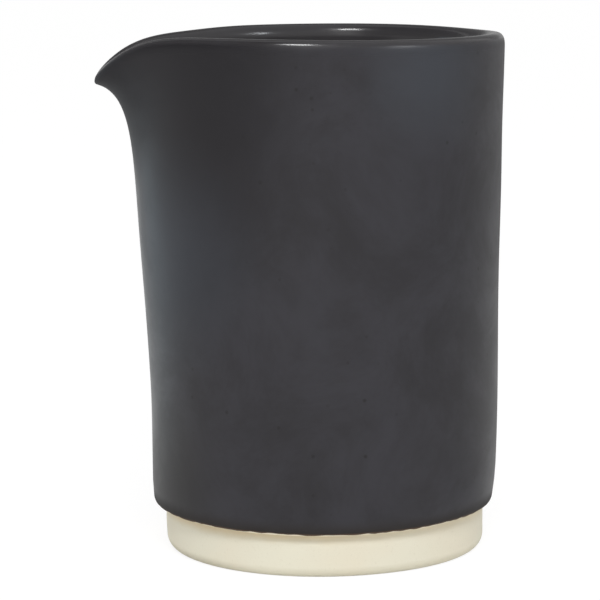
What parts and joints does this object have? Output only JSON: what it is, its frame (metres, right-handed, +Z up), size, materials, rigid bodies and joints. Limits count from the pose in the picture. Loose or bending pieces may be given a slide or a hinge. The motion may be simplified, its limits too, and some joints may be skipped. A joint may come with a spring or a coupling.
{
  "type": "stoneware jug",
  "caption": "Handleless stoneware jug with a straight dark satin-glazed wall, a pulled pouring spout, a glossy liner glaze and a bare, set-in clay foot.",
  "frame": {"origin": "on the jug's axis, in the plane that the foot rests on", "axes": "+Z up along the jug's axis, -X towards the tip of the spout"},
  "size_m": [0.1265, 0.1124, 0.16],
  "materials": {
    "bare_clay": "bare fired clay, smooth and matte",
    "slip": "bare fired slip, matte",
    "satin_glaze": "satin charcoal glaze",
    "gloss_glaze": "glossy charcoal glaze"
  },
  "bodies": {
    "root": {"foot": "bare_clay", "luting_slip": "slip", "wall": "bare_clay", "outer_glaze": "satin_glaze", "liner_glaze": "gloss_glaze"}
  },
  "joints": []
}
